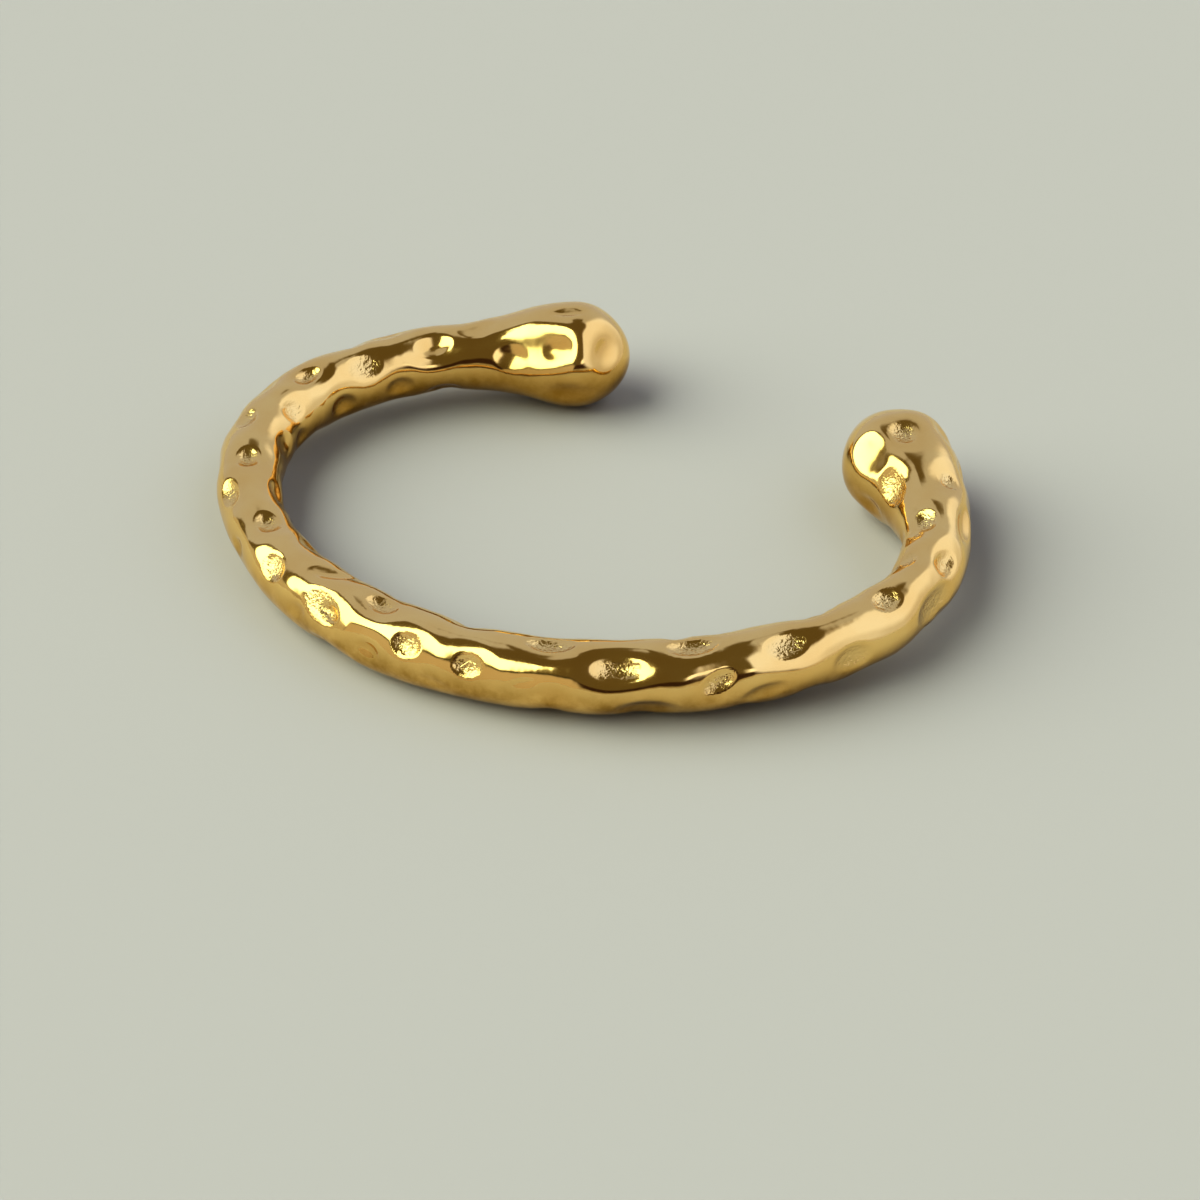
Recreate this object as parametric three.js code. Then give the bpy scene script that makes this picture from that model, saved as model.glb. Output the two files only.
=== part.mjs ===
// A cuff bangle cast in one piece: a round rod bent to the outline of a wrist,
// swollen to a knob at each end and dimpled all over like hammered gold.
// Millimetres, +Z up. It lies flat, its opening towards +Y and its origin on the
// surface below the middle of its box.
//
// The rod is turned straight first, then dimpled, then bent round its centreline.
// A place on it is given by how far along the centreline it is from the left tip,
// and how far around: 0 degrees outward, 90 on top, 180 towards the wrist, 270 below.

import * as THREE from 'three';

// ---- driving dimensions ----
const ROD_LENGTH = 150; // centreline, tip to tip
const TIP_LENGTH = 5.3; // the rounded end of each knob
const FEET_ALONG = [5.5, 75, 144]; // it rests under these: a knob, the front, a knob
const FOOT_SHAVE = 0.11; // the depth that polishing takes off them

// ---- how fine the faceted solid is ----
const SIDES = 32;
const STATION_STEP = 0.85;
const TIP_STATIONS = 7;
const ROUTE_STEPS = 1200;

const table = (columns, rows) =>
  rows.map((row) => Object.fromEntries(columns.map((name, i) => [name, row[i]])));

// The bend: how sharply the centreline turns towards the wrist.
const BENDS = table(['along', 'turn_deg_per_mm'], [
  [0, -2.0],
  [12.5, 1.2],
  [25, 2.4],
  [37.5, 3.7],
  [50, 2.3],
  [62.5, 1.8],
  [75, 1.6],
  [87.5, 1.5],
  [100, 1.3],
  [112.5, 2.0],
  [125, 3.5],
  [137.5, 2.7],
  [150, -3.4],
]);

// The thickness, before the dimples and the rounding of the tips.
const THICKNESS = table(['along', 'radius'], [
  [0, 4.85],
  [5.5, 5.2],
  [9, 4.75],
  [13, 3.7],
  [18, 3.3],
  [30, 3.25],
  [44, 3.2],
  [54, 2.9],
  [63, 3.1],
  [75, 3.3],
  [83, 3.15],
  [95, 3.2],
  [106, 3.25],
  [114, 3.1],
  [125, 3.05],
  [131, 3.15],
  [137.5, 4.0],
  [142, 5.1],
  [145, 5.15],
  [150, 3.2],
]);

// The dimples. Each is an oval, its length along the rod unless it leans, sunk in two
// steps: a pit, and a wider dish around it. rim is 0 for a pit that fades out and
// towards 1 for a crisp edge round a flatter floor.
const DIMPLES = table(['along', 'around', 'length', 'width', 'lean', 'depth', 'rim'], [
  // left knob
  [2.2, 137, 5.6, 5.2, 0, 0.35, 0],
  [2.1, 148, 4.4, 3.2, 70, 0.45, 0.3],
  [8.6, 141, 9.6, 6.0, 0, 0.85, 0],
  [6.9, 143, 3.4, 2.6, 20, 0.36, 0.3],
  [5.9, 94, 4.4, 1.5, 0, 0.4, 0.3],
  [6.0, 198, 6.6, 3.8, 0, 0.6, 0.1],
  [11.6, 154, 4.2, 3.2, -15, 0.45, 0.2],
  [5.4, 35, 4.4, 3.4, 15, 0.5, 0.3],
  [9.5, 350, 4.2, 3.2, 0, 0.45, 0.2],
  [4.6, 312, 3.8, 3.0, -20, 0.5, 0.3],
  [9.8, 238, 3.6, 2.8, 10, 0.4, 0.2],
  // back of the left arm
  [14.8, 98, 4.6, 2.6, 10, 0.3, 0],
  [16.4, 48, 3.2, 2.4, 0, 0.45, 0.3],
  [17.0, 300, 3.4, 2.4, 10, 0.45, 0.3],
  [18.8, 222, 4.2, 2.6, 0, 0.5, 0.2],
  [18.2, 246, 3.4, 2.4, 0, 0.2, 0.1],
  [19.4, 121, 4.4, 3.0, 8, 0.85, 0.1],
  [21.0, 10, 3.4, 2.6, -10, 0.5, 0.3],
  [23.7, 188, 3.6, 2.4, 0, 0.6, 0.3],
  [23.6, 66, 3.4, 2.2, 0, 0.4, 0.3],
  [24.2, 258, 3.4, 2.4, 0, 0.3, 0.2],
  [25.4, 330, 3.4, 2.6, 10, 0.5, 0.3],
  [26.7, 66, 2.8, 2.2, 0, 0.22, 0.1],
  [27.2, 132, 4.2, 3.0, 5, 0.5, 0.5],
  [27.6, 50, 4.4, 2.6, 0, 0.6, 0.3],
  [31.0, 290, 3.0, 2.4, 0, 0.45, 0.3],
  [30.8, 188, 3.8, 2.8, 0, 0.8, 0.3],
  [33.1, 98, 3.4, 2.3, 0, 0.85, 0.5],
  [34.6, 350, 3.4, 2.6, 15, 0.5, 0.3],
  [35.0, 236, 3.2, 2.4, 0, 0.4, 0.2],
  [36.4, 52, 3.0, 2.2, 0, 0.35, 0.3],
  [37.8, 135, 3.4, 2.6, 0, 0.6, 0.5],
  [38.4, 190, 3.2, 2.4, 0, 0.5, 0.2],
  [40.2, 15, 3.2, 2.4, -10, 0.35, 0.3],
  [41.2, 68, 3.2, 2.4, 0, 0.75, 0.5],
  [41.0, 300, 3.2, 2.6, 0, 0.45, 0.3],
  [42.6, 158, 4.4, 3.0, 0, 0.4, 0.1],
  // left arm
  [44.6, 250, 3.0, 2.4, 0, 0.4, 0.2],
  [45.2, 340, 3.2, 2.4, 10, 0.45, 0.3],
  [46.0, 16, 4.2, 2.4, 0, 0.2, 0.1],
  [47.1, 91, 3.2, 2.7, 0, 0.85, 0.5],
  [47.4, 200, 3.0, 2.4, 0, 0.4, 0.2],
  [51.2, 45, 3.8, 2.5, 5, 0.65, 0.5],
  [50.6, 292, 3.0, 2.4, 0, 0.4, 0.3],
  [51.6, 152, 4.6, 2.7, 5, 0.6, 0.2],
  [54.8, 218, 3.2, 2.4, 0, 0.4, 0.2],
  [57.2, 90, 3.4, 2.7, 0, 0.85, 0.5],
  [56.5, 6, 2.6, 2.0, 0, 0.5, 0.2],
  [57.4, 168, 3.6, 2.2, 0, 0.4, 0.2],
  [59.0, 320, 2.8, 2.0, 0, 0.3, 0.2],
  // front left
  [62.4, 44, 3.0, 2.6, -20, 0.7, 0.7],
  [62.0, 136, 3.8, 2.4, 0, 0.45, 0.3],
  [63.0, 250, 3.0, 2.4, 0, 0.3, 0.2],
  [66.6, 8, 2.4, 1.8, 10, 0.45, 0.3],
  [67.4, 103, 5.0, 2.2, 38, 0.55, 0.3],
  [69.0, 41, 4.4, 2.9, -15, 0.55, 0.6],
  [69.0, 328, 2.8, 2.2, 0, 0.2, 0.1],
  [69.9, 36, 2.9, 1.7, -15, 0.5, 0.5],
  [69.6, 190, 3.6, 2.6, 0, 0.45, 0.3],
  [70.3, 314, 4.0, 2.4, 0, 0.5, 0.1],
  [73.9, 93, 3.6, 2.5, -5, 0.85, 0.5],
  [74.5, 8, 2.6, 2.0, -10, 0.6, 0.4],
  [74.4, 148, 3.4, 2.4, 0, 0.3, 0.3],
  [76.4, 232, 3.0, 2.4, 0, 0.4, 0.2],
  [77.9, 40, 2.7, 2.5, 0, 0.7, 0.75],
  [80.4, 350, 3.4, 1.6, -10, 0.2, 0.1],
  [82.0, 176, 3.6, 2.6, 0, 0.45, 0.3],
  [81.7, 130, 3.4, 2.4, 0, 0.6, 0.2],
  [83.3, 33, 2.6, 2.4, 0, 0.7, 0.75],
  // front
  [87.2, 168, 3.4, 2.2, 0, 0.4, 0.3],
  [88.0, 22, 3.0, 1.4, 15, 0.15, 0.1],
  [89.6, 99, 4.6, 2.4, 0, 0.85, 0.7],
  [90.3, 6, 3.4, 2.2, 0, 0.3, 0.3],
  [89.9, 312, 3.0, 2.2, 0, 0.36, 0.1],
  [90.2, 214, 3.4, 2.6, 0, 0.4, 0.2],
  [95.5, 56, 7.4, 4.8, 0, 0.25, 0],
  [95.5, 52, 4.7, 2.4, 0, 0.62, 0.5],
  [95.8, 160, 3.6, 2.6, 0, 0.45, 0.3],
  [97.0, 306, 3.2, 2.2, 0, 0.2, 0.1],
  [97.6, 334, 5.8, 3.2, 0, 0.65, 0.2],
  [101.7, 92, 5.0, 2.6, 5, 0.9, 0.7],
  [102.0, 196, 3.4, 2.4, 0, 0.4, 0.3],
  [100.4, 134, 3.2, 2.2, 0, 0.22, 0.1],
  [103.3, 22, 3.4, 1.9, 32, 0.65, 0.6],
  [104.6, 140, 3.2, 2.2, 0, 0.4, 0.3],
  [105.3, 311, 2.6, 2.0, 0, 0.2, 0.1],
  [107.0, 351, 4.4, 2.2, 12, 0.5, 0.2],
  [109.2, 62, 4.0, 2.6, 10, 0.65, 0.55],
  [109.4, 226, 3.2, 2.4, 0, 0.4, 0.2],
  [110.2, 168, 3.4, 2.4, 0, 0.45, 0.3],
  [111.2, 316, 3.6, 2.6, 0, 0.26, 0.1],
  // right of the front
  [114.4, 8, 3.8, 2.8, 5, 0.65, 0.5],
  [112.8, 130, 3.8, 2.4, 0, 0.6, 0.2],
  [114.9, 141, 3.0, 2.4, 0, 0.28, 0.1],
  [117.0, 196, 3.2, 2.4, 0, 0.4, 0.3],
  [116.4, 306, 3.0, 2.2, 0, 0.4, 0.2],
  [119.3, 79, 3.0, 2.7, 10, 0.7, 0.6],
  [117.6, 160, 3.0, 2.2, 0, 0.4, 0.3],
  [122.0, 148, 3.2, 2.4, 0, 0.5, 0.2],
  [123.4, 12, 5.4, 3.4, 0, 0.85, 0.5],
  [124.5, 155, 3.2, 2.6, 0, 0.4, 0.2],
  [121.8, 322, 4.0, 2.4, 0, 0.45, 0.1],
  [123.0, 248, 2.8, 2.2, 0, 0.3, 0.2],
  [124.5, 331, 2.8, 2.2, 0, 0.22, 0.1],
  // right arm
  [125.2, 119, 2.8, 2.2, 0, 0.5, 0.5],
  [127.6, 300, 3.0, 2.4, 0, 0.4, 0.3],
  [126.7, 52, 3.0, 2.7, 0, 1.0, 0.5],
  [126.8, 186, 3.0, 2.4, 0, 0.4, 0.3],
  [129.6, 129, 1.8, 1.5, 0, 0.3, 0.5],
  [130.6, 280, 3.0, 2.4, 0, 0.4, 0.3],
  [131.2, 178, 3.4, 2.6, 0, 0.36, 0.1],
  [131.2, 111, 3.0, 2.5, 0, 0.7, 0.55],
  [132.2, 36, 4.6, 2.4, 0, 0.7, 0.4],
  [133.0, 212, 3.0, 2.4, 0, 0.4, 0.3],
  [133.8, 340, 3.2, 2.4, 0, 0.45, 0.3],
  [135.2, 18, 3.2, 2.4, 0, 0.22, 0.1],
  // right knob
  [136.4, 65, 2.2, 1.8, 0, 0.6, 0.6],
  [136.4, 88, 6.0, 4.0, 0, 0.3, 0],
  [137.6, 300, 3.4, 2.6, 0, 0.45, 0.3],
  [137.7, 147, 5.0, 3.2, -10, 0.6, 0.5],
  [138.6, 20, 3.4, 2.6, 10, 0.45, 0.2],
  [140.4, 196, 5.0, 2.6, 0, 0.45, 0],
  [142.0, 22, 3.8, 3.0, 0, 0.2, 0.1],
  [142.6, 96, 3.3, 3.0, 0, 0.65, 0.65],
  [142.8, 92, 11.0, 7.0, 0, 0.6, 0],
  [142.3, 141, 5.6, 4.4, -15, 0.7, 0.1],
  [142.8, 345, 4.2, 3.4, 0, 0.5, 0.3],
  [142.6, 40, 4.2, 3.4, 10, 0.48, 0.1],
  [143.2, 236, 3.8, 3.0, 0, 0.45, 0.3],
  [142.4, 308, 3.4, 2.8, 0, 0.45, 0.3],
  [148.9, 330, 4.0, 3.0, 70, 0.6, 0.3],
]);
const DISH_MARGIN = 1.5; // the dish reaches this far beyond its pit, all round
const DISH_SHARE = 0.4; // and takes this share of the depth

// ---- curves ----

// Catmull-Rom interpolation of one column of a table over another.
function curve(rows, key, value) {
  const x = rows.map((row) => row[key]);
  const y = rows.map((row) => row[value]);
  const last = x.length - 1;
  const slope = y.map((_, i) => {
    const before = Math.max(i - 1, 0);
    const after = Math.min(i + 1, last);
    return (y[after] - y[before]) / (x[after] - x[before]);
  });
  return (at) => {
    let i = 0;
    while (i < last - 1 && at >= x[i + 1]) i += 1;
    const span = x[i + 1] - x[i];
    const t = (at - x[i]) / span;
    const t2 = t * t;
    const t3 = t2 * t;
    return (2 * t3 - 3 * t2 + 1) * y[i] + (t3 - 2 * t2 + t) * span * slope[i]
      + (3 * t2 - 2 * t3) * y[i + 1] + (t3 - t2) * span * slope[i + 1];
  };
}

const bendAt = curve(BENDS, 'along', 'turn_deg_per_mm');
const thicknessAt = curve(THICKNESS, 'along', 'radius');

// The radius of the turned rod: its thickness, rounded off as an ellipse at both tips.
function radiusAt(along) {
  const fromTip = Math.max(Math.min(along, ROD_LENGTH - along), 0);
  const t = Math.min(fromTip / TIP_LENGTH, 1);
  return thicknessAt(along) * Math.sqrt(1 - (1 - t) * (1 - t));
}

// The stations along the rod: close together on the rounded tips, even between them.
function stations() {
  const tip = Array.from({ length: TIP_STATIONS }, (_, i) => {
    const angle = (Math.PI / 2) * (i / TIP_STATIONS);
    return TIP_LENGTH * (1 - Math.cos(angle));
  });
  const middle = ROD_LENGTH - 2 * TIP_LENGTH;
  const count = Math.round(middle / STATION_STEP);
  const even = Array.from({ length: count + 1 }, (_, i) => TIP_LENGTH + (middle * i) / count);
  return [...tip, ...even, ...tip.map((along) => ROD_LENGTH - along).reverse()];
}

// The outward direction of the turned rod's surface at a station: x away from the axis,
// y along it. On the tips themselves it points straight along the rod.
function profileNormal(along) {
  if (along <= 0) return new THREE.Vector2(0, -1);
  if (along >= ROD_LENGTH) return new THREE.Vector2(0, 1);
  const reach = Math.min(0.05, along / 2, (ROD_LENGTH - along) / 2);
  const rise = radiusAt(along + reach) - radiusAt(along - reach);
  return new THREE.Vector2(2 * reach, -rise).normalize();
}

// ---- dimples, on the straight rod: x outward, y along, z up ----

function onRod(across, along, around) {
  return new THREE.Vector3(across * Math.cos(around), along, across * Math.sin(around));
}

const dimples = DIMPLES.map((row) => {
  const around = THREE.MathUtils.degToRad(row.around);
  const lean = THREE.MathUtils.degToRad(row.lean);
  const side = profileNormal(row.along);
  const ahead = onRod(-side.y, side.x, around);
  const round = onRod(1, 0, around + Math.PI / 2);
  return {
    ...row,
    centre: onRod(radiusAt(row.along), row.along, around),
    normal: onRod(side.x, side.y, around),
    major: ahead.clone().multiplyScalar(Math.cos(lean)).addScaledVector(round, Math.sin(lean)),
    minor: round.clone().multiplyScalar(Math.cos(lean)).addScaledVector(ahead, -Math.sin(lean)),
  };
});

// The distance from a dimple's centre to an offset, 1 on the edge of its oval grown by a
// margin and held at 1 outside. Across the oval, the way down the round of the rod counts.
function ovalDistance(dimple, offset, margin) {
  const across = Math.hypot(offset.dot(dimple.minor), offset.dot(dimple.normal));
  const u = offset.dot(dimple.major) / (dimple.length / 2 + margin);
  const v = across / (dimple.width / 2 + margin);
  return Math.min(Math.hypot(u, v), 1);
}

// How deep all the dimples together sink a point of the turned rod's surface. The crisper
// its rim, the flatter a pit's floor and the steeper its wall.
function sinkAt(point) {
  const offset = new THREE.Vector3();
  let sink = 0;
  for (const dimple of dimples) {
    offset.subVectors(point, dimple.centre);
    const reach = Math.max(dimple.length, dimple.width) / 2 + DISH_MARGIN;
    if (offset.lengthSq() > reach * reach) continue;
    const { rim } = dimple;
    const pit = (1 - ovalDistance(dimple, offset, 0) ** (2 + 2 * rim)) ** (2 - rim);
    const dish = (1 - ovalDistance(dimple, offset, DISH_MARGIN) ** 2) ** 2;
    sink += dimple.depth * ((1 - DISH_SHARE) * pit + DISH_SHARE * dish);
  }
  return sink;
}

// ---- the bend ----

// The centreline in plan, walked from the left tip in small steps, with its heading
// halved between the two ends so that the opening faces +Y.
function route() {
  const step = ROD_LENGTH / ROUTE_STEPS;
  const heading = [0];
  for (let i = 0; i < ROUTE_STEPS; i += 1) {
    const turn = (bendAt(i * step) + bendAt((i + 1) * step)) / 2;
    heading.push(heading[i] + THREE.MathUtils.degToRad(turn) * step);
  }
  const half = heading[ROUTE_STEPS] / 2;
  const places = [{ x: 0, y: 0, heading: heading[0] - half }];
  for (let i = 0; i < ROUTE_STEPS; i += 1) {
    const from = places[i];
    const to = heading[i + 1] - half;
    places.push({
      x: from.x + (step * (Math.cos(from.heading) + Math.cos(to))) / 2,
      y: from.y + (step * (Math.sin(from.heading) + Math.sin(to))) / 2,
      heading: to,
    });
  }
  return places;
}

const places = route();

// Where a distance along the centreline lies in plan, and which way it heads there.
function placeAt(along) {
  const at = THREE.MathUtils.clamp(along / ROD_LENGTH, 0, 1) * ROUTE_STEPS;
  const i = Math.min(Math.floor(at), ROUTE_STEPS - 1);
  const mix = (key) => THREE.MathUtils.lerp(places[i][key], places[i + 1][key], at - i);
  return { x: mix('x'), y: mix('y'), heading: mix('heading') };
}

// The knobs are thicker than the rod, so the centreline lies in a plane that climbs
// towards them. The plane passes a shaved radius above the floor over each foot.
const lie = new THREE.Plane().setFromCoplanarPoints(...FEET_ALONG.map((along) => {
  const { x, y } = placeAt(along);
  return new THREE.Vector3(x, y, radiusAt(along) - FOOT_SHAVE);
}));
const heightAt = (x, y) => -(lie.normal.x * x + lie.normal.y * y + lie.constant) / lie.normal.z;

// Carries a point of the straight rod to its place on the bent one.
function bend(point) {
  const { x, y, heading } = placeAt(point.y);
  const ahead = [x + Math.cos(heading), y + Math.sin(heading)];
  const centre = new THREE.Vector3(x, y, heightAt(x, y));
  const along = new THREE.Vector3(...ahead, heightAt(...ahead)).sub(centre).normalize();
  const outward = new THREE.Vector3(along.y, -along.x, 0).normalize();
  const up = new THREE.Vector3().crossVectors(outward, along);
  return centre.addScaledVector(outward, point.x).addScaledVector(up, point.z);
}

// ---- the cuff ----

function cuffGeometry() {
  const profile = stations().map((along) => new THREE.Vector2(radiusAt(along), along));
  const geometry = new THREE.LatheGeometry(profile, SIDES);
  geometry.deleteAttribute('normal');
  geometry.deleteAttribute('uv');
  const position = geometry.attributes.position;
  const point = new THREE.Vector3();
  const inward = new THREE.Vector3();
  for (let i = 0; i < position.count; i += 1) {
    point.fromBufferAttribute(position, i);
    const side = profileNormal(profile[i % profile.length].y);
    const across = Math.hypot(point.x, point.z) || 1;
    inward.set((-side.x * point.x) / across, -side.y, (-side.x * point.z) / across);
    point.addScaledVector(inward, sinkAt(point));
    const bent = bend(point);
    position.setXYZ(i, bent.x, bent.y, bent.z);
  }
  settle(geometry);
  return geometry;
}

// Sets the bent rod down: its feet are shaved flat, and the origin moves under the
// middle of its box.
function settle(geometry) {
  const position = geometry.attributes.position;
  for (let i = 0; i < position.count; i += 1) {
    position.setZ(i, Math.max(position.getZ(i), 0));
  }
  geometry.computeBoundingBox();
  const middle = geometry.boundingBox.getCenter(new THREE.Vector3());
  geometry.translate(-middle.x, -middle.y, 0);
  geometry.computeVertexNormals();
}

const polishedGold = new THREE.MeshStandardMaterial({
  name: 'polished_gold',
  color: 0xd9a94e,
  metalness: 1,
  roughness: 0.14,
});

const cuff = new THREE.Mesh(cuffGeometry(), polishedGold);
cuff.name = 'cuff';

const bangle = new THREE.Group();
bangle.name = 'bangle';
bangle.add(cuff);

export default bangle;
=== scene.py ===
"""A cuff bangle cast in one piece: a round rod bent to the outline of a wrist, swollen to a
knob at each end, dimpled all over like hammered gold and polished to a mirror.

The rod is worked straight first, then dimpled, then bent round its centreline. A place on
it is given by how far along the centreline it is from the left tip, in millimetres, and how
far around: 0 degrees outward, 90 on top, 180 towards the wrist, 270 below.
"""

import bpy
import numpy as np
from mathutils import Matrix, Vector


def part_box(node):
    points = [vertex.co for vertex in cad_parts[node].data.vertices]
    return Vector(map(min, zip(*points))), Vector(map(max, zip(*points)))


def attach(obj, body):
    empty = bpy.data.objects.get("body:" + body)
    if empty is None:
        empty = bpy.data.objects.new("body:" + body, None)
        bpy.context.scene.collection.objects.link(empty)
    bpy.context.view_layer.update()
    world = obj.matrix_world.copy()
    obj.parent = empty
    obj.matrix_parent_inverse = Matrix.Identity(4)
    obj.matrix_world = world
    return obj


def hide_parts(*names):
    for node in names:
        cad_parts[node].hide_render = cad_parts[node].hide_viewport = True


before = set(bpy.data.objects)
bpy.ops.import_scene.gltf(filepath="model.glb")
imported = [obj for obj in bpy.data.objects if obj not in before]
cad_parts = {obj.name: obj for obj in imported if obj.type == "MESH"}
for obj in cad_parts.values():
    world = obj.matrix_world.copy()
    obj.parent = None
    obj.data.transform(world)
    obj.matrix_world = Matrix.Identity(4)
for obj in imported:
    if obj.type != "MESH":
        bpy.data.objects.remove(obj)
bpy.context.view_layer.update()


def table(columns, rows):
    """The rows as one array for each named column."""
    return dict(zip(columns.split(), np.array(rows, float).T))


# ---- the cuff's shape: the same named sizes and tables as the solid, in millimetres ----

ROD_LENGTH = 150.0  # centreline, tip to tip
TIP_LENGTH = 5.3  # the rounded end of each knob
FEET_ALONG = (5.5, 75.0, 144.0)  # it rests under these: a knob, the front, a knob
FOOT_SHAVE = 0.11  # the depth that polishing takes off them
ROUTE_STEPS = 1200
SLOPE_REACH = 0.05  # the slope of the rod's side is measured over this much either way
SHORTEST_REACH = 1e-6  # and over this much on the tips themselves

# The bend: along the centreline, and how sharply it turns towards the wrist there.
BENDS = table("along turn_deg_per_mm", [
    (0, -2.0), (12.5, 1.2), (25, 2.4), (37.5, 3.7), (50, 2.3), (62.5, 1.8), (75, 1.6),
    (87.5, 1.5), (100, 1.3), (112.5, 2.0), (125, 3.5), (137.5, 2.7), (150, -3.4),
])

# The thickness, before the dimples and the rounding of the tips.
THICKNESS = table("along radius", [
    (0, 4.85), (5.5, 5.2), (9, 4.75), (13, 3.7), (18, 3.3), (30, 3.25), (44, 3.2),
    (54, 2.9), (63, 3.1), (75, 3.3), (83, 3.15), (95, 3.2), (106, 3.25), (114, 3.1),
    (125, 3.05), (131, 3.15), (137.5, 4.0), (142, 5.1), (145, 5.15), (150, 3.2),
])

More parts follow.
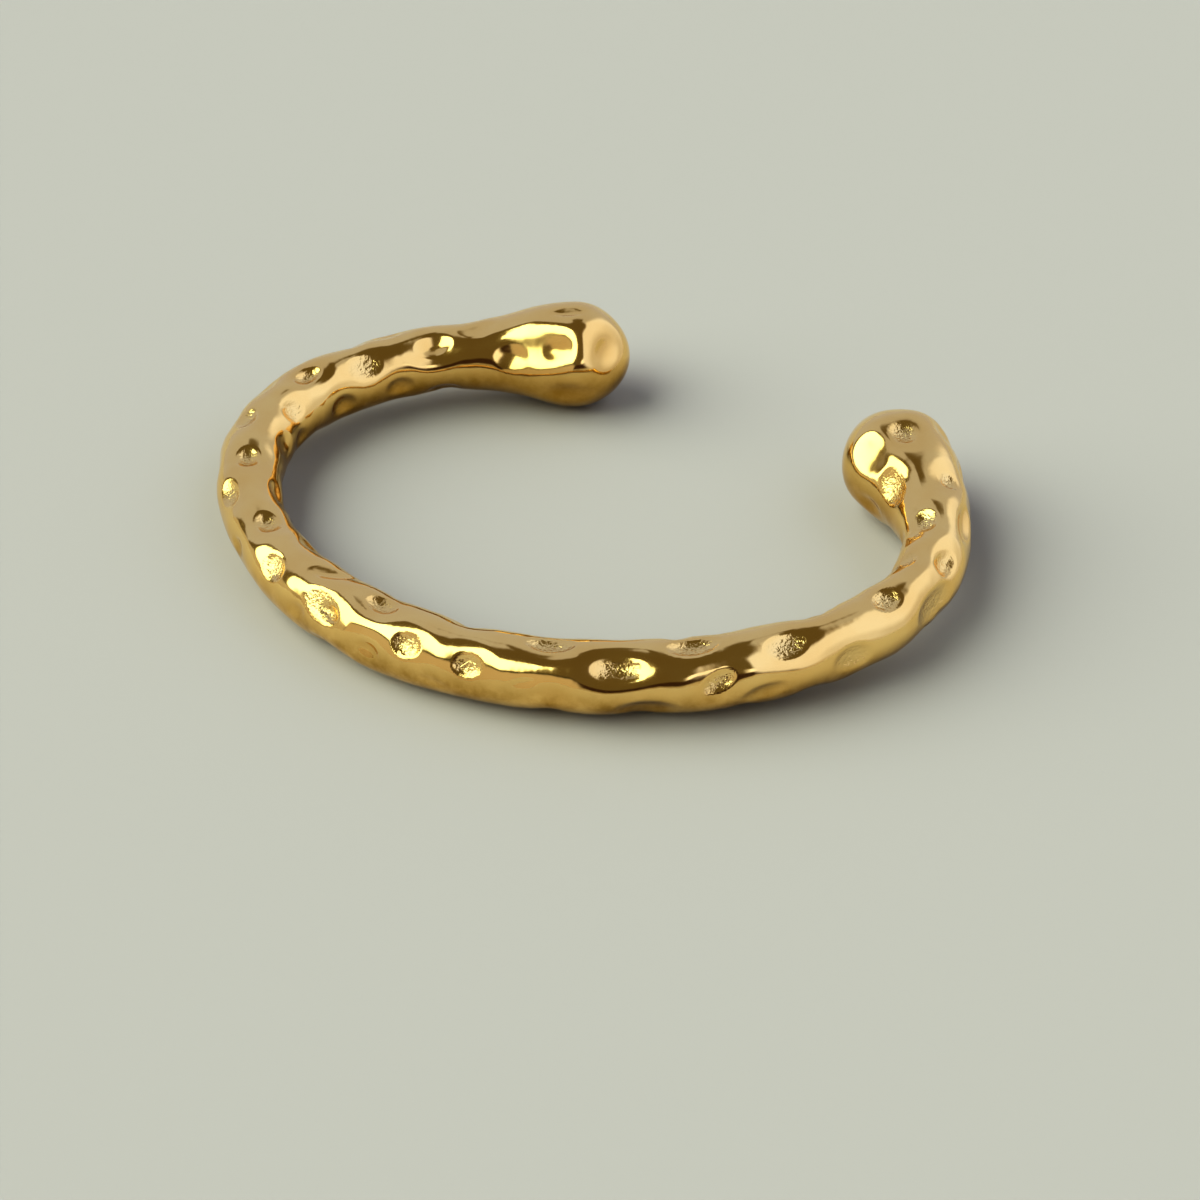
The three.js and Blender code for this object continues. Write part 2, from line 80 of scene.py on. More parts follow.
# The dimples. Each is an oval, its length along the rod unless it leans, sunk in two
# steps: a pit, and a wider dish around it. rim is 0 for a pit that fades out and
# towards 1 for a crisp edge round a flat floor.
DIMPLES = table("along around length width lean depth rim", [
    # left knob
    (2.2, 137, 5.6, 5.2, 0, 0.35, 0),
    (2.1, 148, 4.4, 3.2, 70, 0.45, 0.3),
    (8.6, 141, 9.6, 6.0, 0, 0.85, 0),
    (6.9, 143, 3.4, 2.6, 20, 0.36, 0.3),
    (5.9, 94, 4.4, 1.5, 0, 0.4, 0.3),
    (6.0, 198, 6.6, 3.8, 0, 0.6, 0.1),
    (11.6, 154, 4.2, 3.2, -15, 0.45, 0.2),
    (5.4, 35, 4.4, 3.4, 15, 0.5, 0.3),
    (9.5, 350, 4.2, 3.2, 0, 0.45, 0.2),
    (4.6, 312, 3.8, 3.0, -20, 0.5, 0.3),
    (9.8, 238, 3.6, 2.8, 10, 0.4, 0.2),
    # back of the left arm
    (14.8, 98, 4.6, 2.6, 10, 0.3, 0),
    (16.4, 48, 3.2, 2.4, 0, 0.45, 0.3),
    (17.0, 300, 3.4, 2.4, 10, 0.45, 0.3),
    (18.8, 222, 4.2, 2.6, 0, 0.5, 0.2),
    (18.2, 246, 3.4, 2.4, 0, 0.2, 0.1),
    (19.4, 121, 4.4, 3.0, 8, 0.85, 0.1),
    (21.0, 10, 3.4, 2.6, -10, 0.5, 0.3),
    (23.7, 188, 3.6, 2.4, 0, 0.6, 0.3),
    (23.6, 66, 3.4, 2.2, 0, 0.4, 0.3),
    (24.2, 258, 3.4, 2.4, 0, 0.3, 0.2),
    (25.4, 330, 3.4, 2.6, 10, 0.5, 0.3),
    (26.7, 66, 2.8, 2.2, 0, 0.22, 0.1),
    (27.2, 132, 4.2, 3.0, 5, 0.5, 0.5),
    (27.6, 50, 4.4, 2.6, 0, 0.6, 0.3),
    (31.0, 290, 3.0, 2.4, 0, 0.45, 0.3),
    (30.8, 188, 3.8, 2.8, 0, 0.8, 0.3),
    (33.1, 98, 3.4, 2.3, 0, 0.85, 0.5),
    (34.6, 350, 3.4, 2.6, 15, 0.5, 0.3),
    (35.0, 236, 3.2, 2.4, 0, 0.4, 0.2),
    (36.4, 52, 3.0, 2.2, 0, 0.35, 0.3),
    (37.8, 135, 3.4, 2.6, 0, 0.6, 0.5),
    (38.4, 190, 3.2, 2.4, 0, 0.5, 0.2),
    (40.2, 15, 3.2, 2.4, -10, 0.35, 0.3),
    (41.2, 68, 3.2, 2.4, 0, 0.75, 0.5),
    (41.0, 300, 3.2, 2.6, 0, 0.45, 0.3),
    (42.6, 158, 4.4, 3.0, 0, 0.4, 0.1),
    # left arm
    (44.6, 250, 3.0, 2.4, 0, 0.4, 0.2),
    (45.2, 340, 3.2, 2.4, 10, 0.45, 0.3),
    (46.0, 16, 4.2, 2.4, 0, 0.2, 0.1),
    (47.1, 91, 3.2, 2.7, 0, 0.85, 0.5),
    (47.4, 200, 3.0, 2.4, 0, 0.4, 0.2),
    (51.2, 45, 3.8, 2.5, 5, 0.65, 0.5),
    (50.6, 292, 3.0, 2.4, 0, 0.4, 0.3),
    (51.6, 152, 4.6, 2.7, 5, 0.6, 0.2),
    (54.8, 218, 3.2, 2.4, 0, 0.4, 0.2),
    (57.2, 90, 3.4, 2.7, 0, 0.85, 0.5),
    (56.5, 6, 2.6, 2.0, 0, 0.5, 0.2),
    (57.4, 168, 3.6, 2.2, 0, 0.4, 0.2),
    (59.0, 320, 2.8, 2.0, 0, 0.3, 0.2),
    # front left
    (62.4, 44, 3.0, 2.6, -20, 0.7, 0.7),
    (62.0, 136, 3.8, 2.4, 0, 0.45, 0.3),
    (63.0, 250, 3.0, 2.4, 0, 0.3, 0.2),
    (66.6, 8, 2.4, 1.8, 10, 0.45, 0.3),
    (67.4, 103, 5.0, 2.2, 38, 0.55, 0.3),
    (69.0, 41, 4.4, 2.9, -15, 0.55, 0.6),
    (69.0, 328, 2.8, 2.2, 0, 0.2, 0.1),
    (69.9, 36, 2.9, 1.7, -15, 0.5, 0.5),
    (69.6, 190, 3.6, 2.6, 0, 0.45, 0.3),
    (70.3, 314, 4.0, 2.4, 0, 0.5, 0.1),
    (73.9, 93, 3.6, 2.5, -5, 0.85, 0.5),
    (74.5, 8, 2.6, 2.0, -10, 0.6, 0.4),
    (74.4, 148, 3.4, 2.4, 0, 0.3, 0.3),
    (76.4, 232, 3.0, 2.4, 0, 0.4, 0.2),
    (77.9, 40, 2.7, 2.5, 0, 0.7, 0.75),
    (80.4, 350, 3.4, 1.6, -10, 0.2, 0.1),
    (82.0, 176, 3.6, 2.6, 0, 0.45, 0.3),
    (81.7, 130, 3.4, 2.4, 0, 0.6, 0.2),
    (83.3, 33, 2.6, 2.4, 0, 0.7, 0.75),
    # front
    (87.2, 168, 3.4, 2.2, 0, 0.4, 0.3),
    (88.0, 22, 3.0, 1.4, 15, 0.15, 0.1),
    (89.6, 99, 4.6, 2.4, 0, 0.85, 0.7),
    (90.3, 6, 3.4, 2.2, 0, 0.3, 0.3),
    (89.9, 312, 3.0, 2.2, 0, 0.36, 0.1),
    (90.2, 214, 3.4, 2.6, 0, 0.4, 0.2),
    (95.5, 56, 7.4, 4.8, 0, 0.25, 0),
    (95.5, 52, 4.7, 2.4, 0, 0.62, 0.5),
    (95.8, 160, 3.6, 2.6, 0, 0.45, 0.3),
    (97.0, 306, 3.2, 2.2, 0, 0.2, 0.1),
    (97.6, 334, 5.8, 3.2, 0, 0.65, 0.2),
    (101.7, 92, 5.0, 2.6, 5, 0.9, 0.7),
    (102.0, 196, 3.4, 2.4, 0, 0.4, 0.3),
    (100.4, 134, 3.2, 2.2, 0, 0.22, 0.1),
    (103.3, 22, 3.4, 1.9, 32, 0.65, 0.6),
    (104.6, 140, 3.2, 2.2, 0, 0.4, 0.3),
    (105.3, 311, 2.6, 2.0, 0, 0.2, 0.1),
    (107.0, 351, 4.4, 2.2, 12, 0.5, 0.2),
    (109.2, 62, 4.0, 2.6, 10, 0.65, 0.55),
    (109.4, 226, 3.2, 2.4, 0, 0.4, 0.2),
    (110.2, 168, 3.4, 2.4, 0, 0.45, 0.3),
    (111.2, 316, 3.6, 2.6, 0, 0.26, 0.1),
    # right of the front
    (114.4, 8, 3.8, 2.8, 5, 0.65, 0.5),
    (112.8, 130, 3.8, 2.4, 0, 0.6, 0.2),
    (114.9, 141, 3.0, 2.4, 0, 0.28, 0.1),
    (117.0, 196, 3.2, 2.4, 0, 0.4, 0.3),
    (116.4, 306, 3.0, 2.2, 0, 0.4, 0.2),
    (119.3, 79, 3.0, 2.7, 10, 0.7, 0.6),
    (117.6, 160, 3.0, 2.2, 0, 0.4, 0.3),
    (122.0, 148, 3.2, 2.4, 0, 0.5, 0.2),
    (123.4, 12, 5.4, 3.4, 0, 0.85, 0.5),
    (124.5, 155, 3.2, 2.6, 0, 0.4, 0.2),
    (121.8, 322, 4.0, 2.4, 0, 0.45, 0.1),
    (123.0, 248, 2.8, 2.2, 0, 0.3, 0.2),
    (124.5, 331, 2.8, 2.2, 0, 0.22, 0.1),
    # right arm
    (125.2, 119, 2.8, 2.2, 0, 0.5, 0.5),
    (127.6, 300, 3.0, 2.4, 0, 0.4, 0.3),
    (126.7, 52, 3.0, 2.7, 0, 1.0, 0.5),
    (126.8, 186, 3.0, 2.4, 0, 0.4, 0.3),
    (129.6, 129, 1.8, 1.5, 0, 0.3, 0.5),
    (130.6, 280, 3.0, 2.4, 0, 0.4, 0.3),
    (131.2, 178, 3.4, 2.6, 0, 0.36, 0.1),
    (131.2, 111, 3.0, 2.5, 0, 0.7, 0.55),
    (132.2, 36, 4.6, 2.4, 0, 0.7, 0.4),
    (133.0, 212, 3.0, 2.4, 0, 0.4, 0.3),
    (133.8, 340, 3.2, 2.4, 0, 0.45, 0.3),
    (135.2, 18, 3.2, 2.4, 0, 0.22, 0.1),
    # right knob
    (136.4, 65, 2.2, 1.8, 0, 0.6, 0.6),
    (136.4, 88, 6.0, 4.0, 0, 0.3, 0),
    (137.6, 300, 3.4, 2.6, 0, 0.45, 0.3),
    (137.7, 147, 5.0, 3.2, -10, 0.6, 0.5),
    (138.6, 20, 3.4, 2.6, 10, 0.45, 0.2),
    (140.4, 196, 5.0, 2.6, 0, 0.45, 0),
    (142.0, 22, 3.8, 3.0, 0, 0.2, 0.1),
    (142.6, 96, 3.3, 3.0, 0, 0.65, 0.65),
    (142.8, 92, 11.0, 7.0, 0, 0.6, 0),
    (142.3, 141, 5.6, 4.4, -15, 0.7, 0.1),
    (142.8, 345, 4.2, 3.4, 0, 0.5, 0.3),
    (142.6, 40, 4.2, 3.4, 10, 0.48, 0.1),
    (143.2, 236, 3.8, 3.0, 0, 0.45, 0.3),
    (142.4, 308, 3.4, 2.8, 0, 0.45, 0.3),
    (148.9, 330, 4.0, 3.0, 70, 0.6, 0.3),
])
DISH_MARGIN = 1.5  # the dish reaches this far beyond its pit, all round
DISH_SHARE = 0.4  # and takes this share of the depth
GRANULAR_RIMS = (0.44, 0.52)  # the floor is smooth up to the first rim, granular past the other


def curve(rows, column):
    """Catmull-Rom interpolation of a column over the first one: a cubic between each two
    rows, whose slope at a row is that of the line between its neighbours."""
    x, y = rows["along"], rows[column]
    after = np.minimum(np.arange(len(x)) + 1, len(x) - 1)
    before = np.maximum(np.arange(len(x)) - 1, 0)
    slope = (y[after] - y[before]) / (x[after] - x[before])

    def at(along):
        i = np.clip(np.searchsorted(x, along, side="right") - 1, 0, len(x) - 2)
        span = x[i + 1] - x[i]
        t = (along - x[i]) / span
        return (
            (2 * t**3 - 3 * t**2 + 1) * y[i] + (t**3 - 2 * t**2 + t) * span * slope[i]
            + (3 * t**2 - 2 * t**3) * y[i + 1] + (t**3 - t**2) * span * slope[i + 1]
        )

    return at


bend_at = curve(BENDS, "turn_deg_per_mm")
thickness_at = curve(THICKNESS, "radius")


def radius_at(along):
    """The thickness, times sqrt(1 - (1 - t)^2) over each tip, where t runs from 0 to 1."""
    t = np.clip(np.minimum(along, ROD_LENGTH - along) / TIP_LENGTH, 0, 1)
    return thickness_at(along) * np.sqrt(1 - (1 - t) ** 2)


def profile_normal(along):
    """The outward direction of the straight rod's side: away from the axis, and along it."""
    reach = np.minimum(SLOPE_REACH, np.minimum(along, ROD_LENGTH - along) / 2)
    reach = np.maximum(reach, SHORTEST_REACH)
    rise = radius_at(along + reach) - radius_at(along - reach)
    size = np.hypot(2 * reach, rise)
    tip = np.where(along <= 0, -1.0, np.where(along >= ROD_LENGTH, 1.0, 0.0))
    away = np.where(tip == 0, 2 * reach / size, 0.0)
    ahead = np.where(tip == 0, -rise / size, tip)
    return away, ahead


def on_rod(across, along, around):
    """A vector of the straight rod: x outward, y along, z up."""
    parts = across * np.cos(around), along, across * np.sin(around)
    return np.stack(np.broadcast_arrays(*parts), -1)


def oval(offset, major, minor, normal, half_length, half_width):
    """The distance from an oval's centre, 1 on its edge: across it, the way down the
    round of the rod counts too."""
    across = np.hypot(offset @ minor, offset @ normal)
    return np.hypot(offset @ major / half_length, across / half_width)


def sink(points):
    """How deep the dimples sink each point, and how granular it is there. A pit is
    (1 - q^(2 + 2 rim))^(2 - rim) and its dish (1 - q^2)^2, with q the oval distance from
    the middle, held at 1 outside. The grain fades out with the pit, and its strength
    grows in a straight line between the two GRANULAR_RIMS."""
    depth = np.zeros(len(points))
    grain = np.zeros(len(points))
    for along, around, length, width, lean, deep, rim in zip(*DIMPLES.values()):
        around, lean = np.radians(around), np.radians(lean)
        away, ahead = profile_normal(np.array(along))
        onward = on_rod(-ahead, away, around)
        sideways = on_rod(1.0, 0.0, around + np.pi / 2)
        normal = on_rod(away, ahead, around)
        major = onward * np.cos(lean) + sideways * np.sin(lean)
        minor = sideways * np.cos(lean) - onward * np.sin(lean)
        offset = points - on_rod(radius_at(np.array(along)), along, around)
        reach = max(length, width) / 2 + DISH_MARGIN
        near = np.flatnonzero((offset**2).sum(-1) < reach**2)
        ways = offset[near], major, minor, normal
        q = np.minimum(oval(*ways, length / 2, width / 2), 1)
        pit = (1 - q ** (2 + 2 * rim)) ** (2 - rim)
        q = np.minimum(oval(*ways, length / 2 + DISH_MARGIN, width / 2 + DISH_MARGIN), 1)
        dish = (1 - q**2) ** 2
        depth[near] += deep * ((1 - DISH_SHARE) * pit + DISH_SHARE * dish)
        grain[near] = np.maximum(grain[near], pit * np.interp(rim, GRANULAR_RIMS, (0, 1)))
    return depth, grain


def route():
    """The centreline in plan: its heading is the running sum of the bends, less half its
    end value, and its place is the running sum of the heading's direction."""
    along = np.linspace(0, ROD_LENGTH, ROUTE_STEPS + 1)
    step = along[1]
    running = lambda rate: np.concatenate([[0], np.cumsum((rate[1:] + rate[:-1]) / 2 * step)])
    heading = running(np.radians(bend_at(along)))
    heading -= heading[-1] / 2
    return along, running(np.cos(heading)), running(np.sin(heading)), heading


ROUTE = route()


def place_at(along):
    return [np.interp(along, ROUTE[0], column) for column in ROUTE[1:]]


def lie():
    """The plane of the centreline, height = a x + b y + c, through three points a shaved
    radius above the feet."""
    feet = np.array(FEET_ALONG)
    x, y, _ = place_at(feet)
    return np.linalg.solve(np.stack([x, y, np.ones(3)], -1), radius_at(feet) - FOOT_SHAVE)


LIE = lie()


def bend(points):
    """Carries points of the straight rod to the bent one: centreline + x outward + z up."""
    x, y, heading = place_at(points[..., 1])
    centre = np.stack([x, y, LIE[0] * x + LIE[1] * y + LIE[2]], -1)
    c, s = np.cos(heading), np.sin(heading)
    along = np.stack([c, s, LIE[0] * c + LIE[1] * s], -1)
    along /= np.linalg.norm(along, axis=-1, keepdims=True)
    outward = np.stack([s, -c, np.zeros_like(c)], -1)
    up = np.cross(outward, along)
    return centre + outward * points[..., :1] + up * points[..., 2:]


def cuff(stations, sides):
    """Grid of the cuff's surface: rows are stations along, columns go around."""
    along, around = np.meshgrid(stations, np.arange(sides) * 2 * np.pi / sides, indexing="ij")
    straight = on_rod(radius_at(along), along, around)
    away, ahead = profile_normal(along)
    normal = on_rod(away, ahead, around)
    depth, grain = sink(straight.reshape(-1, 3))
    straight = straight - normal * depth.reshape(along.shape)[..., None]
    bent = bend(straight)
    bent[..., 2] = np.maximum(bent[..., 2], 0)
    return bent, depth.reshape(along.shape), grain.reshape(along.shape)


# ---- the cuff's mesh ----

STATIONS_ON_TIP = 28
STATION_STEP = 0.145  # millimetres
SIDES = 96
WRIST_SIDE = 205  # degrees around, the middle of the wrist side, where painted shade darkens the gold
WRIST_REACH = 45  # and how many degrees to either side of it that goes


def stations():
    """Close together on the rounded tips, as 1 - cos of an even angle, and even between."""
    angle = np.arange(STATIONS_ON_TIP) / STATIONS_ON_TIP * np.pi / 2
    tip = TIP_LENGTH * (1 - np.cos(angle))
    count = round((ROD_LENGTH - 2 * TIP_LENGTH) / STATION_STEP)
    even = np.linspace(TIP_LENGTH, ROD_LENGTH - TIP_LENGTH, count + 1)
    return np.concatenate([tip, even, (ROD_LENGTH - tip)[::-1]])


def fit_to(points, box):
    """Moves and scales points, axis by axis, from their own box into the given one."""
    low, high = (np.array(corner) for corner in box)
    flat = points.reshape(-1, 3)
    own_low, own_high = flat.min(0), flat.max(0)
    return low + (points - own_low) / (own_high - own_low) * (high - low)


def closed_rod_faces(rows, sides):
    """Quads between neighbouring rows of a rod's grid, and a fan at each pole. The first
    and the last row are one vertex each, numbered before and after the others."""
    around = np.arange(sides)
    onward = (around + 1) % sides
    start = 1 + sides * np.arange(rows - 3)[:, None]
    further = start + sides
    quads = np.stack([start + around, further + around, further + onward, start + onward], -1)
    last = 1 + sides * (rows - 3)
    first_fan = np.stack([np.zeros_like(around), 1 + around, 1 + onward], -1)
    last_fan = np.stack([np.full_like(around, last + sides), last + onward, last + around], -1)
    return first_fan, quads.reshape(-1, 4), last_fan


def wristward():
    """How far each column of the grid is turned to the wrist and down: the cosine of its
    angle from WRIST_SIDE, stretched to run from 0 at WRIST_REACH to 1, and 0 beyond."""
    cosine = np.cos(np.arange(SIDES) * 2 * np.pi / SIDES - np.radians(WRIST_SIDE))
    least = np.cos(np.radians(WRIST_REACH))
    return np.clip((cosine - least) / (1 - least), 0, 1)


def make_cuff():
    """The surface as a mesh, with how deep, how granular and how far turned to the wrist
    it is at each vertex."""
    points, depth, grain = cuff(stations(), SIDES)
    inward = np.broadcast_to(wristward(), depth.shape)
    points = fit_to(points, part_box("cuff"))
    rows = len(points)
    keep = np.ones((rows, SIDES), bool)
    keep[0, 1:] = keep[-1, 1:] = False
    first_fan, quads, last_fan = closed_rod_faces(rows, SIDES)
    mesh = bpy.data.meshes.new("cuff_surface")
    faces = first_fan.tolist() + quads.tolist() + last_fan.tolist()
    mesh.from_pydata(points[keep].tolist(), [], faces)
    mesh.polygons.foreach_set("use_smooth", np.ones(len(faces), bool))
    for name, values in (("depth", depth), ("grain", grain), ("wristward", inward)):
        mesh.attributes.new(name, "FLOAT", "POINT").data.foreach_set("value", values[keep])
    mesh.update()
    return mesh


def add_piece(name, mesh, material):
    """An object that shows the mesh in the material, with its place in its mesh."""
    piece = bpy.data.objects.new(name, mesh)
    mesh.materials.append(material)
    bpy.context.scene.collection.objects.link(piece)
    return piece


# ---- nodes ----


def add_node(tree, kind, **settings):
    """A node of a kind with its settings. Its inputs, by name or number, are sockets to
    link or values to set."""
    node = tree.nodes.new(kind)
    inputs = settings.pop("inputs", {})
    for key, value in settings.items():
        setattr(node, key, value)
    for key, value in inputs.items():
        if isinstance(value, bpy.types.NodeSocket):
            tree.links.new(value, node.inputs[key])
        else:
            node.inputs[key].default_value = value
    return node


def calc(tree, operation, *values, clamp=False):
    """The output of a Math node on the given numbers or sockets."""
    return add_node(tree, "ShaderNodeMath", operation=operation, use_clamp=clamp,
                    inputs=dict(enumerate(values))).outputs[0]


def smooth(tree, value, low, high):
    """Smoothstep of a value, from 0 at low to 1 at high."""
    return add_node(tree, "ShaderNodeMapRange", interpolation_type="SMOOTHSTEP",
                    inputs={0: value, 1: low, 2: high, 3: 0.0, 4: 1.0}).outputs[0]


def mixed(tree, blend, share, first, second):
    """Two colours mixed in a way of blending: the second's share goes from 0 to 1."""
    return add_node(tree, "ShaderNodeMix", data_type="RGBA", blend_type=blend,
                    inputs={0: share, 6: first, 7: second}).outputs[2]


def attribute(tree, name):
    """A number that the mesh keeps at each vertex."""
    return add_node(tree, "ShaderNodeAttribute", attribute_name=name).outputs["Fac"]


# ---- the polished gold ----

# The noise patterns in it: turns to the millimetre, levels of detail, and how strong each
# finer level is next to the one before.
PATTERNS = {
    "drift": (0.25, 3, 0.5),
    "patches": (0.5, 4, 0.6),
    "haze": (1.3, 4, 0.6),
    "swell": (0.55, 2, 0.5),
    "sand": (3.2, 2, 0.5),
}

RED_GOLD = (0.93, 0.64, 0.25, 1)
LEMON_GOLD = (0.96, 0.69, 0.29, 1)
DRIFT_SPAN = (0.35, 0.65)  # of its noise, where the gold is all red and all lemon
HOLLOW_TINT = (0.93, 0.86, 0.72, 1)
HOLLOW_TINT_PER_MM = 0.7  # its share grows with the depth
# Painted highlight: a paler gold on the granular floors stands for their bright sparkle.
PAINTED_SPARKLE_GOLD = (0.97, 0.76, 0.38, 1)
PAINTED_SPARKLE_SHARE = 0.6
# Painted shade: the gold darkened low down and on the wrist side, for the shadowed floor that
# it mirrors there.
PAINTED_SHADE_TINT = (0.52, 0.43, 0.21, 1)
PAINTED_SHADE_HEIGHTS = (5.0, 2.0)  # millimetres up, where the painted shade starts and is full
PAINTED_SHADE_LEAST = 0.5  # its share on the wrist side between the patches
PATCH_CONTRAST = 2.4
PATCH_OFFSET = -0.6

POLISH = 0.055  # roughness at its brightest
POLISH_HAZE = 0.08  # more where the polish thins out,
SATIN_PER_MM = 0.13  # more down in the smooth hollows, where the buff doesn't reach,
GRANULAR_HAZE = 0.03  # and a little more on the granular floors, which sparkle

SWELL = 26  # micrometres, left by hand polishing
GRAIN = 155  # micrometres, on the granular floors
MICROMETRE = 1e-6
MILLIMETRES = 1000  # to the metre


def noise(tree, place, pattern):
    """One of the noise patterns, from 0 to 1."""
    scale, detail, roughness = PATTERNS[pattern]
    return add_node(tree, "ShaderNodeTexNoise", inputs={
        "Vector": place, "Scale": scale, "Detail": detail, "Roughness": roughness,
    }).outputs["Fac"]


def gold_colour(tree, place, depth, grain):
    """Drifts between a lemon and a redder gold, a shade deeper in the hollows and paler on
    their granular floors as a painted highlight for their sparkle, and patchily darker low down
    and on the wrist side: painted shade for the shadowed floor that the gold mirrors there."""
    colour = add_node(tree, "ShaderNodeValToRGB", inputs={0: noise(tree, place, "drift")})
    red, lemon = colour.color_ramp.elements
    red.position, lemon.position = DRIFT_SPAN
    red.color, lemon.color = RED_GOLD, LEMON_GOLD
    hollow = calc(tree, "MULTIPLY", depth, HOLLOW_TINT_PER_MM, clamp=True)
    deeper = mixed(tree, "MULTIPLY", hollow, colour.outputs[0], HOLLOW_TINT)
    # Painted highlight: the granular floors made paler, for their sparkle.
    painted_sparkle = calc(tree, "MULTIPLY", grain, PAINTED_SPARKLE_SHARE)
    paler = mixed(tree, "MIX", painted_sparkle, deeper, PAINTED_SPARKLE_GOLD)

    # Painted shade, in patches: darker low down and on the wrist side, for the shadowed floor
    # mirrored there.
    height = add_node(tree, "ShaderNodeSeparateXYZ", inputs={0: place}).outputs["Z"]
    patches = calc(tree, "MULTIPLY_ADD", noise(tree, place, "patches"), PATCH_CONTRAST,
                   PATCH_OFFSET, clamp=True)
    low = calc(tree, "MULTIPLY", smooth(tree, height, *PAINTED_SHADE_HEIGHTS), patches)
    share = calc(tree, "MULTIPLY_ADD", patches, 1 - PAINTED_SHADE_LEAST, PAINTED_SHADE_LEAST)
    inside = calc(tree, "MULTIPLY", attribute(tree, "wristward"), share)
    painted_shade = calc(tree, "MAXIMUM", low, inside)
    return mixed(tree, "MULTIPLY", painted_shade, paler, PAINTED_SHADE_TINT)


def gold_roughness(tree, place, depth, grain):
    """Mirror bright, hazier in patches and satin in the smooth hollows."""
    haze = calc(tree, "MULTIPLY_ADD", noise(tree, place, "haze"), POLISH_HAZE, POLISH)
    smooth_depth = calc(tree, "MULTIPLY", depth, calc(tree, "SUBTRACT", 1, grain))
    satin = calc(tree, "MULTIPLY_ADD", smooth_depth, SATIN_PER_MM, haze)
    return calc(tree, "MULTIPLY_ADD", grain, GRANULAR_HAZE, satin)


def gold_bump(tree, place, grain):
    """The slow swell of the polish and the grain of the floors, in micrometres."""
    swell = calc(tree, "MULTIPLY", noise(tree, place, "swell"), SWELL)
    sand = calc(tree, "MULTIPLY", noise(tree, place, "sand"), GRAIN)
    height = calc(tree, "ADD", swell, calc(tree, "MULTIPLY", sand, grain))
    return add_node(tree, "ShaderNodeBump",
                    inputs={"Height": height, "Distance": MICROMETRE, "Strength": 1}).outputs[0]


def polished_gold():
    material = bpy.data.materials.new("polished_gold")
    material.use_nodes = True
    tree = material.node_tree
    shader = tree.nodes["Principled BSDF"]
    coords = add_node(tree, "ShaderNodeTexCoord").outputs["Object"]
    place = add_node(tree, "ShaderNodeMapping",
                     inputs={"Vector": coords, "Scale": (MILLIMETRES,) * 3}).outputs[0]
    depth = attribute(tree, "depth")
    grain = attribute(tree, "grain")
    shader.inputs["Metallic"].default_value = 1
    tree.links.new(gold_colour(tree, place, depth, grain), shader.inputs["Base Color"])
    tree.links.new(gold_roughness(tree, place, depth, grain), shader.inputs["Roughness"])
    tree.links.new(gold_bump(tree, place, grain), shader.inputs["Normal"])
    return material


# ---- the studio ----

CAMERA_HEADING = 37.74  # degrees that it stands round to the right of the front
CAMERA_HEIGHT = 38.0  # degrees above the floor
CAMERA_DISTANCE = 0.22377
CAMERA_LENS = 75
CAMERA_SENSOR = 36
CAMERA_REACH = (0.01, 50)  # the nearest and the furthest that it sees
AIM = (0.00715, -0.00574, 0)

# Soft panels round the bangle, each over the ones before it. heading is in degrees to the
# right of the way the camera looks and height above the floor; across and tall are half
# sizes in degrees; edge is how soft the rim is, as a share of the size.
PANELS = table("heading height across tall edge red green blue", [
    (0, 0, 180, 9, 0.15, 0.42, 0.41, 0.36),  # the low pale sweep all round
    (-177, 13, 42, 7, 0.3, 0.05, 0.03, 0.018),  # a dark rail behind
    (150, 25, 17, 5.5, 0.3, 1.0, 1.05, 1.15),  # a strip of daylight over the rail
    (-2, 20, 37, 37, 0.12, 0.40, 0.43, 0.53),  # the far wall
    (-37, 34, 24, 36, 0.08, 0.40, 0.43, 0.53),  # its taller left end
    (42, 32, 22, 35, 0.12, 0.40, 0.43, 0.53),  # and its taller right end
    (-111, 36, 42, 27, 0.05, 1.8, 2.05, 1.75),  # the big window, to the left
    (-134, 12, 34, 20, 0.12, 0.06, 0.06, 0.04),  # the dark edge of a low screen
    (-134, 9, 33, 18, 0.10, 0.45, 0.42, 0.36),  # the pale low screen before the window
    (97, 36, 58, 31, 0.12, 0.70, 0.75, 0.94),  # the pale wall to the right
    (95, 8, 34, 16, 0.8, 0.50, 0.52, 0.60),  # in shade low down
])
PANEL_SQUARENESS = 4  # 2 would make them ovals
SHADE = (0.13, 0.11, 0.06)  # over and behind the camera

DAYLIGHT = 2.9  # watts to the square metre, straight on
DAYLIGHT_HEADING = -88
DAYLIGHT_HEIGHT = 38
DAYLIGHT_SPREAD = 70  # degrees across

FLOOR_COLOUR = (0.385, 0.376, 0.329, 1)
FLOOR_ROUGHNESS = 0.75
FLOOR_GLOSS = 0.2
FLOOR_HALF = 5  # metres


def way(heading, height):
    """The direction at a heading to the right of the way the camera looks and a height."""
    turn, up = np.radians(heading - CAMERA_HEADING), np.radians(height)
    return Vector((np.sin(turn) * np.cos(up), np.cos(turn) * np.cos(up), np.sin(up)))


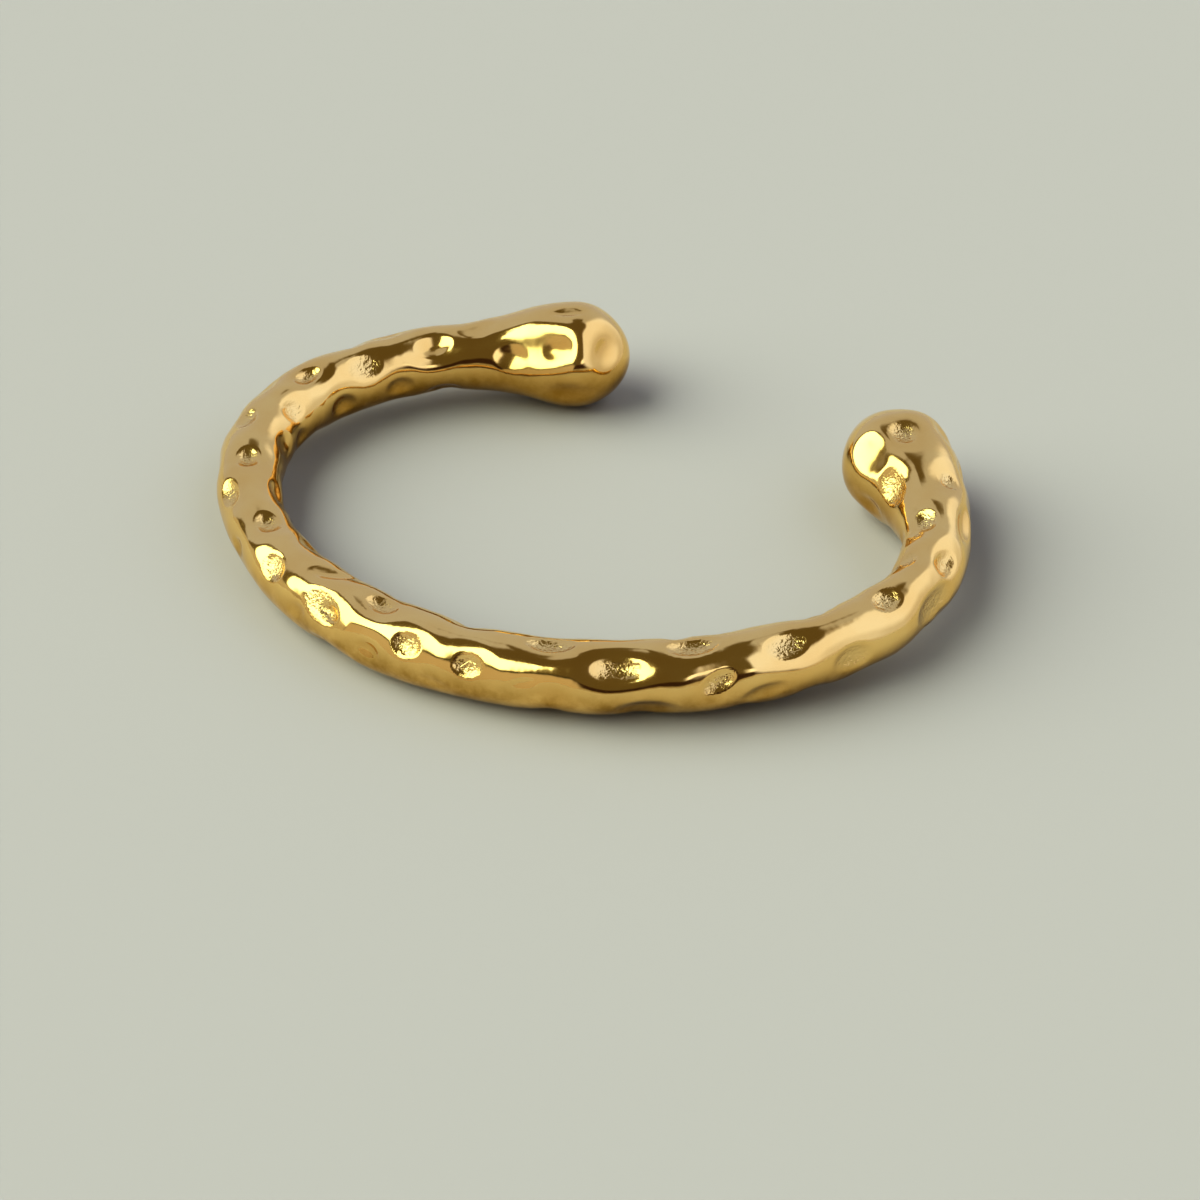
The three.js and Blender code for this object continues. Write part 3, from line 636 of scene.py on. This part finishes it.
def studio_light():
    """A dome of soft panels. Each shows as far as smoothstep allows over its rim, where
    (|heading offset / across|^n + |height offset / tall|^n)^(1/n) passes 1."""
    world = bpy.data.worlds.new("studio")
    bpy.context.scene.world = world
    world.use_nodes = True
    tree = world.node_tree
    shader = tree.nodes["Background"]
    seen = add_node(tree, "ShaderNodeTexCoord").outputs["Generated"]
    turned = add_node(tree, "ShaderNodeVectorRotate", rotation_type="Z_AXIS",
                      inputs={"Vector": seen, "Angle": np.radians(-CAMERA_HEADING)}).outputs[0]
    axes = add_node(tree, "ShaderNodeSeparateXYZ", inputs={0: turned}).outputs
    heading = calc(tree, "DEGREES", calc(tree, "ARCTAN2", axes["X"], axes["Y"]))
    height = calc(tree, "DEGREES", calc(tree, "ARCSINE", axes["Z"]))
    light = (*SHADE, 1)
    for at, up, across, tall, edge, *colour in zip(*PANELS.values()):
        turn = calc(tree, "WRAP", calc(tree, "SUBTRACT", heading, at), 180, -180)
        rise = calc(tree, "SUBTRACT", height, up)
        sideways, upward = (
            calc(tree, "POWER", calc(tree, "ABSOLUTE", calc(tree, "DIVIDE", offset, size)),
                 PANEL_SQUARENESS)
            for offset, size in ((turn, across), (rise, tall))
        )
        reach = calc(tree, "POWER", calc(tree, "ADD", sideways, upward), 1 / PANEL_SQUARENESS)
        lit = smooth(tree, reach, 1 + edge, 1 - edge)
        light = mixed(tree, "MIX", lit, light, (*colour, 1))
    tree.links.new(light, shader.inputs["Color"])


def daylight():
    """The soft light through the window that falls on the floor and casts the shadow. The
    gold mirrors the panel that stands for the window instead."""
    data = bpy.data.lights.new("daylight", "SUN")
    data.energy = DAYLIGHT
    data.angle = np.radians(DAYLIGHT_SPREAD)
    it = bpy.data.objects.new("daylight", data)
    it.visible_glossy = False
    bpy.context.scene.collection.objects.link(it)
    from_window = way(DAYLIGHT_HEADING, DAYLIGHT_HEIGHT)
    it.rotation_euler = from_window.to_track_quat("Z", "Y").to_euler()


def pale_floor():
    material = bpy.data.materials.new("pale_floor")
    material.use_nodes = True
    shader = material.node_tree.nodes["Principled BSDF"]
    shader.inputs["Base Color"].default_value = FLOOR_COLOUR
    shader.inputs["Roughness"].default_value = FLOOR_ROUGHNESS
    shader.inputs["Specular IOR Level"].default_value = FLOOR_GLOSS
    mesh = bpy.data.meshes.new("floor")
    near, far = -FLOOR_HALF, FLOOR_HALF
    corners = [(near, near, 0), (far, near, 0), (far, far, 0), (near, far, 0)]
    mesh.from_pydata(corners, [], [range(4)])
    add_piece("floor", mesh, material)


def camera():
    data = bpy.data.cameras.new("camera")
    data.lens = CAMERA_LENS
    data.sensor_width = CAMERA_SENSOR
    data.clip_start, data.clip_end = CAMERA_REACH
    it = bpy.data.objects.new("camera", data)
    bpy.context.scene.collection.objects.link(it)
    back = way(180, CAMERA_HEIGHT)
    it.location = Vector(AIM) + back * CAMERA_DISTANCE
    it.rotation_euler = back.to_track_quat("Z", "Y").to_euler()
    bpy.context.scene.camera = it
    bpy.context.scene.view_settings.view_transform = "Standard"
    bpy.context.scene.view_settings.look = "High Contrast"


# ---- putting it together ----

cuff_piece = add_piece("dimpled_cuff", make_cuff(), polished_gold())
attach(cuff_piece, "root")
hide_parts("cuff")
pale_floor()
studio_light()
daylight()
camera()
